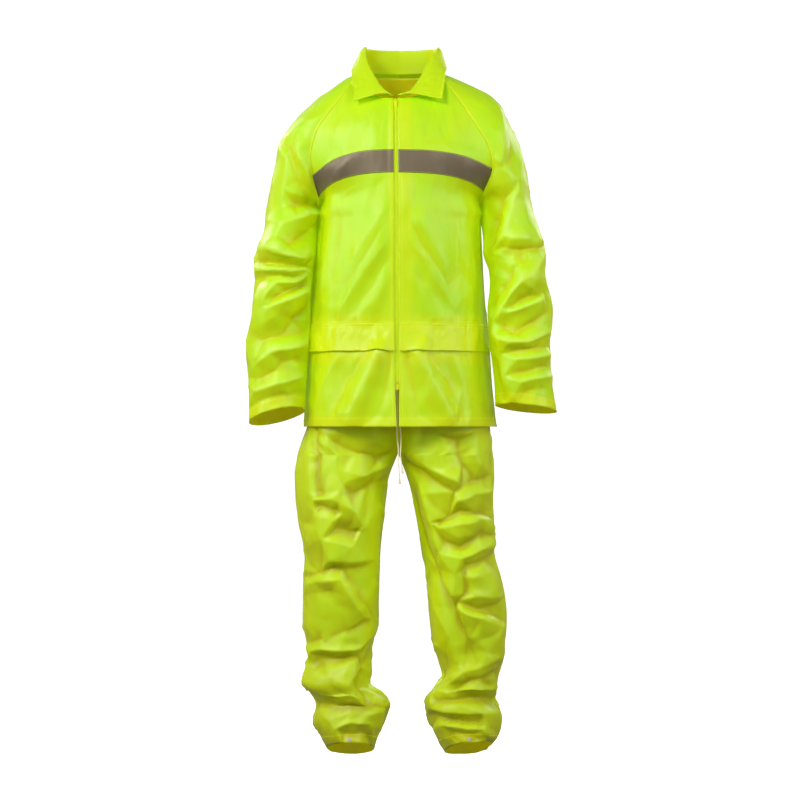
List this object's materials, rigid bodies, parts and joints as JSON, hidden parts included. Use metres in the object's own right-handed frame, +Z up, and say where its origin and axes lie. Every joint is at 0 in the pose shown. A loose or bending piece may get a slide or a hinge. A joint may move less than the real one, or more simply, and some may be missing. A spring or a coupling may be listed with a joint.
{
  "type": "rain suit",
  "caption": "Worn two-piece rain suit, bright yellow: raglan zip jacket with turned-down collar, reflective chest band and waist flaps, and loose drawstring trousers, hollow.",
  "frame": {"origin": "between the shoulders at the base of the neck, where the suit hangs from its wearer", "axes": "+Z up, the front of the suit faces -Y, +X is the wearer's left"},
  "size_m": [0.63, 0.309, 1.468],
  "materials": {
    "jacket_cloth": "coated nylon, fluorescent yellow, soft sheen",
    "trouser_cloth": "coated nylon, fluorescent yellow, soft sheen",
    "collar_cloth": "coated nylon, doubled",
    "reflective_tape": "grey glass-bead retroreflective tape",
    "zip_tape": "yellow coil zip on woven tape",
    "zip_metal": "enamelled yellow",
    "stud_metal": "nickel-plated press stud",
    "cord": "cream braided cotton cord"
  },
  "bodies": {
    "root": {"collar": "collar_cloth", "drawstring_end_left": "cord", "drawstring_end_right": "cord", "drawstring_left": "cord", "drawstring_right": "cord", "hem_stud_left": "stud_metal", "hem_stud_right": "stud_metal", "jacket_back": "jacket_cloth", "jacket_front_left": "jacket_cloth", "jacket_front_right": "jacket_cloth", "reflective_band_left": "reflective_tape", "reflective_band_right": "reflective_tape", "sleeve_left": "jacket_cloth", "sleeve_right": "jacket_cloth", "trouser_back_left": "trouser_cloth", "trouser_back_right": "trouser_cloth", "trouser_front_left": "trouser_cloth", "trouser_front_right": "trouser_cloth", "waist_casing": "trouser_cloth", "waist_flap_left": "jacket_cloth", "waist_flap_right": "jacket_cloth", "zip_box": "zip_metal", "zip_chain": "zip_tape", "zip_slider": "zip_metal", "zip_tape_left": "zip_tape", "zip_tape_right": "zip_tape"},
    "zip_pull": {"zip_pull_tab": "zip_metal"}
  },
  "joints": [
    {"name": "pull_tab_hinge", "type": "hinge", "parent": "root", "child": "zip_pull", "pos_m": [-0.0049, -0.10591, -0.04809], "axis": [-1, 0, 0], "range_deg": [0, 120]}
  ]
}
